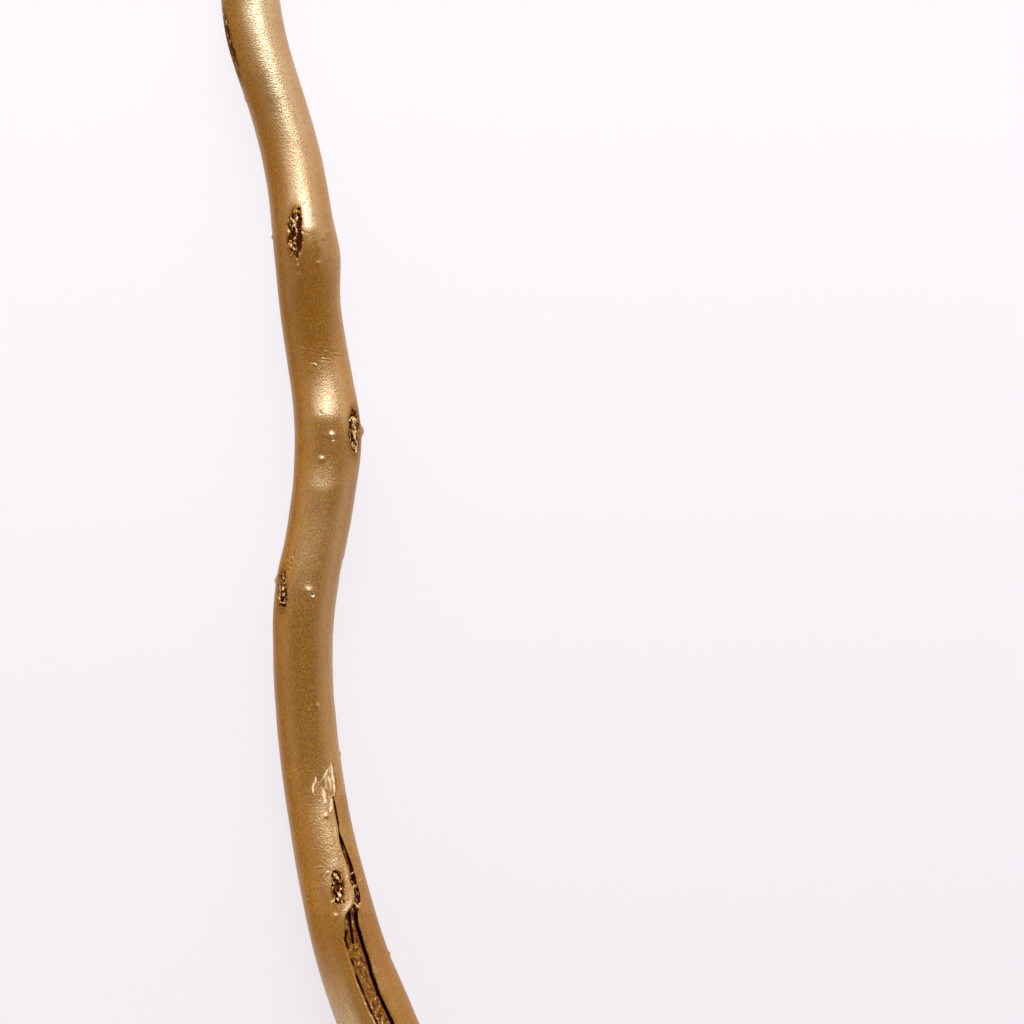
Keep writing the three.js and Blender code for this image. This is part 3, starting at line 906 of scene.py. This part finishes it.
class MULBERRY_OT_bark(bpy.types.Operator):
    """Grows the branch along the CAD solid's middle line and carves its bark"""

    bl_idname = "mulberry.bark"
    bl_label = "Grow the branch"

    # The cage reaches this far each way, past both cuts. A filled cut has more corners than this.
    REACH = 184.0
    CUT_CORNERS = 40

    def execute(self, context):
        sizes = context.scene.mulberry_sizes
        spine = Spine()
        branch = self.grow(spine, sizes)
        self.refine(branch, spine)
        self.carve(branch, spine)
        self.cut_ends(branch, spine)
        branch.data.materials.append(gold_bark(context.scene.mulberry_finish))
        branch.data.materials.append(cut_wood(context.scene.mulberry_finish))
        bpy.ops.object.shade_smooth_by_angle(angle=math.radians(62))
        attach(branch, "root")
        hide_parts(NODE)
        return {"FINISHED"}

    def grow(self, spine, sizes):
        """Extrudes a ring along the middle line and smooths the cage that this makes."""
        bpy.ops.object.select_all(action="DESELECT")
        bpy.ops.mesh.primitive_circle_add(vertices=sizes.sides, radius=1, fill_type="NOTHING")
        branch = bpy.context.object
        branch.name = branch.data.name = "branch"
        count = int(round(2 * self.REACH * MM / sizes.ring_step))
        along = np.linspace(-self.REACH, self.REACH, count + 1)
        middle, way, radius = spine.at(along)
        up, right = Spine.square_to(way / np.linalg.norm(way, axis=1)[:, None])
        angle = (np.arange(sizes.sides) * 2 * math.pi / sizes.sides)[None, :, None]
        # Smoothing draws a ring in, so the cage is wider by as much.
        swell = 6 / (4 + 2 * math.cos(2 * math.pi / sizes.sides))
        bpy.ops.object.mode_set(mode="EDIT")
        bpy.ops.mesh.select_mode(type="VERT")
        bpy.ops.mesh.select_all(action="SELECT")
        for _ in range(count):
            bpy.ops.mesh.extrude_region_move()
        bpy.ops.object.mode_set(mode="OBJECT")
        outward = np.cos(angle) * up[:, None] + np.sin(angle) * right[:, None]
        rings = middle[:, None] + (radius * swell)[:, None, None] * outward
        branch.data.vertices.foreach_set("co", (rings * MM).ravel())
        branch.data.update()
        bpy.ops.object.modifier_add(type="SUBSURF")
        smoothing = branch.modifiers[-1]
        smoothing.levels = smoothing.render_levels = 3
        bpy.ops.object.modifier_apply(modifier=smoothing.name)
        bpy.ops.object.mode_set(mode="EDIT")
        bpy.ops.mesh.select_all(action="SELECT")
        bpy.ops.mesh.normals_make_consistent(inside=False)
        bpy.ops.object.mode_set(mode="OBJECT")
        return branch

    def refine(self, branch, spine):
        """Subdivides the faces where the bark is wrinkled or torn."""
        for level in (1, 2, 3):
            zone = fine_zone(Places(spine, face_middles(branch.data)))
            select_faces(branch, zone >= level)
            bpy.ops.mesh.subdivide(number_cuts=1)
            bpy.ops.object.mode_set(mode="OBJECT")

    def carve(self, branch, spine):
        """Moves each point out or in by the relief of the bark, and notes what the paint needs."""
        points = points_of(branch.data)
        places = Places(spine, points)
        height = swelling(places) + buckling(places)
        pit, flake, dark_rim = pits(places)
        # bed is the split's bed of torn wood and the painted shade beside the split.
        cut, lip, open_wood, bed = drying_split(places)
        worn, brown_and_shade = scraped(places)
        points = points + places.outward * (height + lip - pit - 0.1 * brown_and_shade)[:, None]
        points[:, 2] -= cut
        branch.data.vertices.foreach_set("co", (points * MM).ravel())
        # The browner bark beside the scrapes, partly painted shade, is laid half as bare wood.
        bare = np.maximum(0.85 * smooth(0.28, 0.62, pit), np.maximum(open_wood, 0.5 * brown_and_shade))
        # The coat gives the flake share, the painted shade, and pale: a patch of painted light that goes
        # into the worn note with the real scrapes.
        spray, painted_shade, pale = coat(places)
        # thin carries thin paint in the split's bed, the darker rims round the scars, and painted shade:
        # the shade patches and the painted shade beside the split.
        thin = np.maximum(np.maximum(dark_rim, painted_shade), bed)
        for name, values in zip(NOTES, (bare, thin, flake, np.maximum(worn, pale), spray)):
            note = branch.data.attributes.new(name, "FLOAT", "POINT")
            note.data.foreach_set("value", values.astype(np.float32))
        branch.data.update()

    def cut_ends(self, branch, spine):
        """Saws both ends off where the CAD solid ends, and fills the cuts."""
        for point, facing in spine.ends:
            select_faces(branch, np.ones(len(branch.data.polygons), dtype=bool))
            bpy.ops.mesh.bisect(
                plane_co=point * MM, plane_no=facing, use_fill=True, clear_outer=True, threshold=1e-6
            )
            bpy.ops.object.mode_set(mode="OBJECT")
        chosen = np.array([len(face.vertices) > self.CUT_CORNERS for face in branch.data.polygons])
        if chosen.sum() != len(spine.ends):
            raise RuntimeError(f"the two cuts left {chosen.sum()} filled faces")
        branch.data.polygons.foreach_set("material_index", chosen.astype(np.int32))
        select_faces(branch, chosen)
        bpy.ops.mesh.poke()
        bpy.ops.object.mode_set(mode="OBJECT")
        places = Places(spine, points_of(branch.data))
        note = branch.data.attributes.new("straight", "FLOAT_VECTOR", "POINT")
        note.data.foreach_set("vector", (places.straight * MM).astype(np.float32).ravel())
        branch.data.update()


class MULBERRY_OT_fibres(bpy.types.Operator):
    """Lays torn wood fibres across the drying split"""

    bl_idname = "mulberry.fibres"
    bl_label = "Tear the fibres"

    # Each fibre from (x, y, lift) to (x, y, lift), in millimetres, with its thickness. Lift is
    # its height over the bark there.
    FIBRES = [
        ((-90.1, -1.7, -0.1), (-89.3, -3.1, 0.1), 0.5),
        ((-93.6, -2.9, -0.5), (-91.2, -4.3, 0.7), 0.6),
        ((-91.7, -1.9, -0.3), (-92.3, -2.5, -0.4), 0.5),
        ((-92.6, -2.9, -0.6), (-93.8, -2.2, -0.2), 0.5),
        ((-94.4, -3.2, -0.6), (-95.3, -3.9, 0.0), 0.45),
        ((-97.1, -2.7, -0.2), (-98.4, -4.0, 0.0), 0.45),
        ((-97.3, -4.2, 0.1), (-99.0, -3.3, -0.5), 0.5),
    ]

    def execute(self, context):
        branch = bpy.data.objects["branch"]
        bpy.ops.object.select_all(action="DESELECT")
        bpy.ops.curve.primitive_bezier_curve_add()
        fibres = bpy.context.object
        fibres.name = "torn_fibres"
        curve = fibres.data
        curve.dimensions = "3D"
        curve.splines.clear()
        curve.bevel_depth = 1.0
        curve.bevel_resolution = 1
        curve.resolution_u = 4
        curve.use_fill_caps = True
        for start, end, thickness in self.FIBRES:
            self.lay(curve, branch, start, end, thickness)
        bpy.ops.object.convert(target="MESH")
        fibres = bpy.context.object
        fibres.data.name = "torn_fibres"
        bpy.ops.object.transform_apply(location=True, rotation=True, scale=True)
        bpy.ops.object.mode_set(mode="EDIT")
        bpy.ops.mesh.select_all(action="SELECT")
        bpy.ops.mesh.remove_doubles(threshold=1e-6)
        bpy.ops.mesh.normals_make_consistent(inside=False)
        bpy.ops.object.mode_set(mode="OBJECT")
        bpy.ops.object.shade_smooth_by_angle(angle=math.radians(50))
        fibres.data.materials.append(torn_wood(context.scene.mulberry_finish))
        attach(fibres, "root")
        return {"FINISHED"}

    def lay(self, curve, branch, start, end, thickness):
        """Adds one tapered fibre between two places of the bark."""
        ends = []
        for x, y, lift in (start, end):
            hit, place, _, _ = branch.ray_cast((x * MM, y * MM, 0.1), (0, 0, -1))
            if not hit:
                raise RuntimeError(f"no bark under the fibre at {x}, {y}")
            ends.append(np.array(place) + np.array([0, 0, lift * MM]))
        spline = curve.splines.new("POLY")
        shares = np.linspace(0, 1, 6)
        spline.points.add(len(shares) - 1)
        bow = np.array([0, 0, 0.0002])
        for point, share in zip(spline.points, shares):
            place = ends[0] + share * (ends[1] - ends[0]) + bow * math.sin(math.pi * share)
            point.co = (*place, 1)
            point.radius = thickness * MM / 2 * (1 - 0.4 * share)


class MULBERRY_OT_stage(bpy.types.Operator):
    """Puts down the floor, hangs the lights and sets up the camera"""

    bl_idname = "mulberry.stage"
    bl_label = "Set the stage"

    def execute(self, context):
        stage = context.scene.mulberry_stage
        bpy.ops.object.select_all(action="DESELECT")
        bpy.ops.mesh.primitive_plane_add(size=stage.floor_size)
        floor = bpy.context.object
        floor.name = "floor"
        # The floor glows as painted light: it washes out the branch's shadow and is brighter towards the
        # thin end, as if lit from there.
        material, wire = new_material("pale_floor")
        place = wire.node("ShaderNodeTexCoord", output="Object")
        ahead = wire.node("ShaderNodeSeparateXYZ", {}, {"Vector": place}, output="X")
        wire.shader({
            "Base Color": solid(stage.floor_base),
            "Emission Color": ahead.step(-0.16, 0.16).blend(stage.floor_near, stage.floor_far),
            "Emission Strength": stage.floor_glow,
            "Roughness": 0.9,
            "Specular IOR Level": 0.1,
        }).show()
        floor.data.materials.append(material)
        self.light(context, stage)
        self.camera(context, stage)
        return {"FINISHED"}

    # The lights, as their lean from straight overhead, the way that they lean, from the thin end
    # round to the left, both in degrees, their strength and their width in degrees.
    LIGHTS = {
        "key_right": (49, -18, 2.8, 54),
        "key_left": (49, 30, 1.3, 50),
        "key_core": (48, -8, 0.8, 26),
        "top_light": (25, 0, 0.08, 35),
        "low_right": (75, -65, 0.35, 40),
        "low_left": (65, 85, 0.12, 45),
        "low_back": (71, 178, 0.5, 50),
    }
    # The small light by the thick end: its width and the point that it is aimed at, in metres.
    FOOT_WIDTH = 0.15
    FOOT_AIM = (-0.12, 0, 0.01)
    SENSOR = 36

    def light(self, context, stage):
        """A broad band of soft light from the thin end, and weak light from the sides and all round."""
        for name, (lean, way, strength, width) in self.LIGHTS.items():
            bpy.ops.object.light_add(type="SUN", rotation=(0, math.radians(lean), math.radians(way)))
            lamp = bpy.context.object
            lamp.name = name
            lamp.data.energy = strength * stage.light_strength
            lamp.data.angle = math.radians(width)
        bpy.ops.object.light_add(type="AREA", location=stage.foot_light)
        lamp = bpy.context.object
        lamp.name = "foot_light"
        lamp.data.size = self.FOOT_WIDTH
        lamp.data.energy = stage.foot_strength
        aim = mathutils.Vector(stage.foot_light) - mathutils.Vector(self.FOOT_AIM)
        lamp.rotation_euler = aim.to_track_quat("Z", "Y").to_euler()
        world = context.scene.world or bpy.data.worlds.new("surround")
        context.scene.world = world
        world.use_nodes = True
        world.node_tree.nodes.clear()
        wire = Wire(world.node_tree)
        place = wire.node("ShaderNodeTexCoord", output="Generated")
        up = wire.node("ShaderNodeSeparateXYZ", {}, {"Vector": place}, output="Z")
        strength = stage.surround_strength + up.step(0.6, 0.1) * stage.horizon_strength
        glow = wire.node("ShaderNodeBackground", {}, {"Color": solid(stage.surround), "Strength": strength})
        glow.show("ShaderNodeOutputWorld")
        context.scene.view_settings.view_transform = "Standard"

    def camera(self, context, stage):
        """Looks straight down, with the branch's thin end at the top of the picture."""
        centre = stage.view_centre
        bpy.ops.object.camera_add(
            location=(centre[0], centre[1], stage.camera_height), rotation=(0, 0, -math.pi / 2)
        )
        camera = bpy.context.object
        camera.name = "camera"
        camera.data.sensor_width = self.SENSOR
        camera.data.lens = self.SENSOR * (stage.camera_height - stage.sharp_height) / stage.view_size
        context.scene.camera = camera


# Sizes and colours

def length(name, description, default):
    return bpy.props.FloatProperty(
        name=name, description=description, default=default, unit="LENGTH", precision=5
    )


def colour(name, description, default):
    return bpy.props.FloatVectorProperty(
        name=name, description=description, default=default, subtype="COLOR", min=0, max=1
    )


def share(name, description, default):
    return bpy.props.FloatProperty(name=name, description=description, default=default, min=0)


def place(name, description, default):
    return bpy.props.FloatVectorProperty(
        name=name, description=description, default=default, size=len(default), subtype="XYZ", unit="LENGTH"
    )


class MulberrySizes(bpy.types.PropertyGroup):
    """Sizes of the branch's cage"""

    sides: bpy.props.IntProperty(
        name="Sides", description="Sides of the cage that is smoothed into the branch", default=12, min=6
    )
    ring_step: length("Ring step", "Distance between the rings of the cage", 0.008)


class MulberryFinish(bpy.types.PropertyGroup):
    """Colours and finish of the paint and the wood"""

    flakes: colour("Flakes", "Brass flakes in the paint", (0.68, 0.59, 0.41))
    gold: colour("Gold", "Binder of the paint where it is thick", (0.475, 0.176, 0.003))
    bright: colour("Bright gold", "Binder of the paint on its grains", (0.66, 0.345, 0.07))
    ochre: colour("Ochre", "Binder of the paint where it is thin", (0.395, 0.131, 0.001))
    # This colour is also laid as painted shade, through the thin note.
    thin: colour("Thin gold", "Gold overspray on bare wood", (0.20, 0.078, 0.008))
    bare: colour("Bare wood", "Dark wood that the spray did not reach", (0.08, 0.012, 0.002))
    # Near white: dry wood is pale, and this is lighter still as painted glints on the torn flakes.
    torn: colour("Torn wood", "Torn fibres, pale and dry", (0.98, 0.82, 0.52))
    scraped: colour("Scraped", "Pale wood where the gold is scraped off", (0.80, 0.62, 0.36))
    flake_share: share("Flake share", "Share of flakes in the paint", 0.44)
    roughness: share("Roughness", "Roughness of the flakes", 0.29)
    grain: length("Grain", "Size of the grains in the paint", 0.00034)
    grain_height: length("Grain height", "Height of the grains in the paint", 0.000058)
    ring_width: length("Ring width", "Width of a year's ring on the sawn ends", 0.0013)


class MulberryStage(bpy.types.PropertyGroup):
    """The floor, the light and the view"""

    floor_size: length("Floor", "Width of the floor", 12)
    floor_base: colour("Floor colour", "Colour of the floor, without its glow", (0.12, 0.12, 0.12))
    floor_near: colour("Near glow", "Glow of the floor by the thick end", (0.836, 0.789, 0.826))
    floor_far: colour("Far glow", "Glow of the floor by the thin end", (0.95, 0.911, 0.95))
    floor_glow: share("Glow", "Strength of the floor's glow", 0.9)
    light_strength: share("Light", "Strength of all the lights", 0.95)
    foot_light: place("Foot light", "Place of the small light by the thick end", (-0.30, 0.2, 0.11))
    foot_strength: share("Foot strength", "Strength of the small light by the thick end", 0.17)
    surround: colour("Surround", "Colour of the light all round", (1.0, 0.97, 0.95))
    surround_strength: share("Surround strength", "Strength of the light all round", 0.02)
    horizon_strength: share("Horizon strength", "Strength of the light low down all round", 0.3)
    camera_height: length("Camera height", "Height of the camera over the floor", 4.0)
    view_size: length("View size", "Width of the view at the branch's outline", 0.256)
    sharp_height: length("Outline height", "Height of the branch's outline over the floor", 0.010)
    view_centre: place("View centre", "The point of the floor in the middle of the view", (0.0004, -0.0421))


class MULBERRY_PT_branch(bpy.types.Panel):
    """Lists the steps that make the branch"""

    bl_idname = "MULBERRY_PT_branch"
    bl_label = "Mulberry branch"
    bl_space_type = "VIEW_3D"
    bl_region_type = "UI"
    bl_category = "Branch"

    def draw(self, context):
        for step in STEPS:
            self.layout.operator(step.bl_idname)
        for group in GROUPS:
            box = self.layout.box()
            settings = getattr(context.scene, group)
            for name in GROUPS[group].__annotations__:
                box.prop(settings, name)


STEPS = [MULBERRY_OT_bark, MULBERRY_OT_fibres, MULBERRY_OT_stage]
GROUPS = {
    "mulberry_sizes": MulberrySizes,
    "mulberry_finish": MulberryFinish,
    "mulberry_stage": MulberryStage,
}


def register():
    for name, group in GROUPS.items():
        bpy.utils.register_class(group)
        setattr(bpy.types.Scene, name, bpy.props.PointerProperty(type=group))
    for kind in STEPS + [MULBERRY_PT_branch]:
        bpy.utils.register_class(kind)


def unregister():
    for kind in reversed(STEPS + [MULBERRY_PT_branch]):
        bpy.utils.unregister_class(kind)
    for name, group in GROUPS.items():
        delattr(bpy.types.Scene, name)
        bpy.utils.unregister_class(group)


def main():
    register()
    bpy.ops.mulberry.bark()
    bpy.ops.mulberry.fibres()
    bpy.ops.mulberry.stage()


if __name__ == "__main__":
    main()
